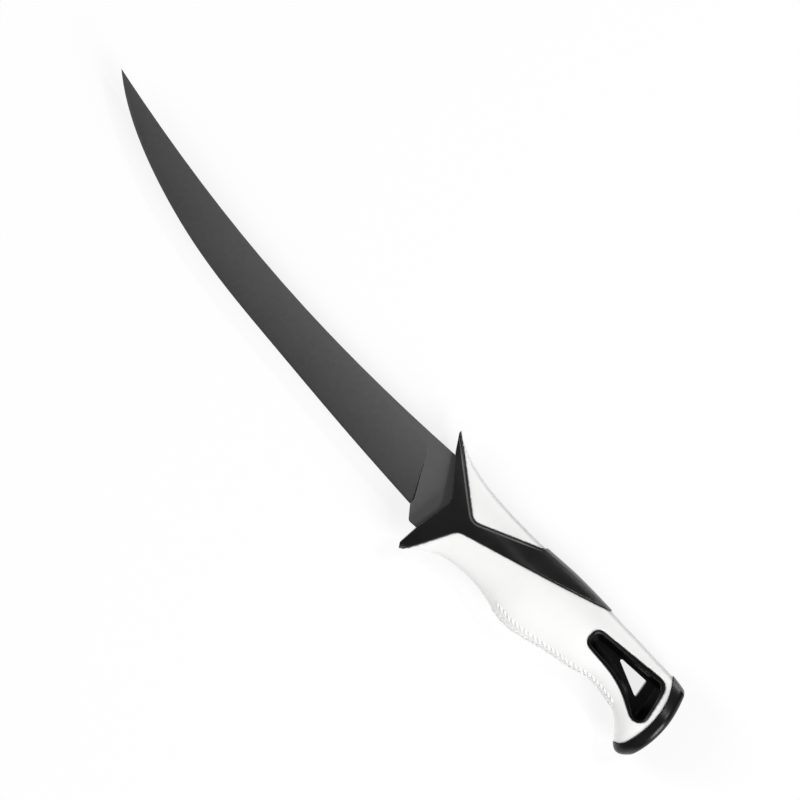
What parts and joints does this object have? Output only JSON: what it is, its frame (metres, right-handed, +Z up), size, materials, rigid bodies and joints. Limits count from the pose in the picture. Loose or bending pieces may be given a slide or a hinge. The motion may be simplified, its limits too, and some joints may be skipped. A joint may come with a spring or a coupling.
{
  "type": "fillet knife",
  "caption": "Long upswept fillet knife with a dark coated blade, a two-horned guard, a soft white grip, a lanyard eyelet and a capped butt.",
  "frame": {"origin": "centre of the knife's footprint, on the surface that its right side lies on", "axes": "+X from the tip to the butt, +Y from the edge to the spine, +Z up out of the left side"},
  "size_m": [0.3544, 0.0742, 0.024],
  "materials": {
    "coated_steel": "satin",
    "pin_steel": "satin",
    "black_nylon": "satin",
    "white_rubber": "matte",
    "black_moulding": "satin",
    "black_gloss": "gloss"
  },
  "bodies": {
    "root": {"blade": "coated_steel", "tang_pins": "pin_steel", "core_left": "black_nylon", "core_right": "black_nylon", "thumb_pad": "white_rubber", "palm_grip": "white_rubber", "lanyard_eyelet": "black_moulding", "butt_cap": "black_gloss"}
  },
  "joints": []
}
